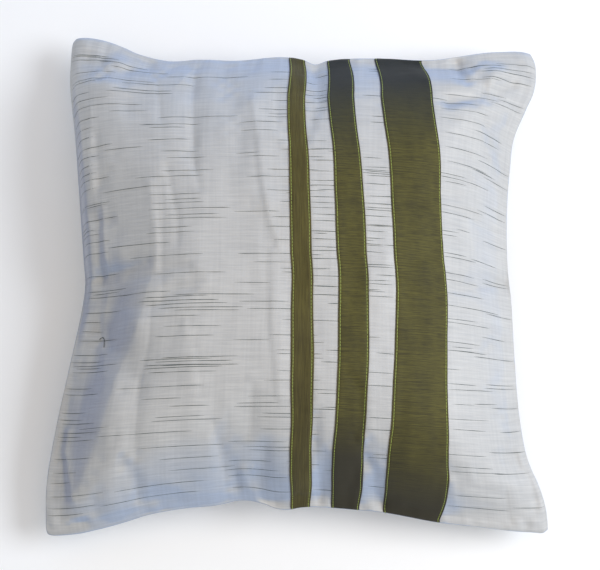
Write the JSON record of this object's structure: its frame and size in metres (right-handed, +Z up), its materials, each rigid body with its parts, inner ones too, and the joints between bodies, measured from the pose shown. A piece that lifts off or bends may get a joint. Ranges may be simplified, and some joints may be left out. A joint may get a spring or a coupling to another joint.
{
  "type": "cushion cover",
  "caption": "Square cushion cover on its pad, silvery slub-striped cloth with dark olive bands of unequal width sewn over the right of its front.",
  "frame": {"origin": "on the surface that the cushion lies on, under the middle of its outline", "axes": "+Z up out of the striped front, +Y towards the head side, which is the top of the picture, +X towards the side that has the bands"},
  "size_m": [0.3882, 0.3976, 0.1241],
  "materials": {
    "ground_cloth": "silky plain weave with fine weft ribs, silvery white",
    "band_narrow_cloth": "matte olive weave with its yarns running lengthwise",
    "band_medium_cloth": "matte olive and black two-tone weave",
    "band_wide_cloth": "matte olive and black two-tone weave",
    "slub_yarn": "dark grey-green slub yarn, slightly raised",
    "stitch_thread": "lime sewing thread with a slight sheen"
  },
  "bodies": {
    "root": {"cushion_cover": "ground_cloth", "band_narrow": "band_narrow_cloth", "band_medium": "band_medium_cloth", "band_wide": "band_wide_cloth"}
  },
  "joints": []
}
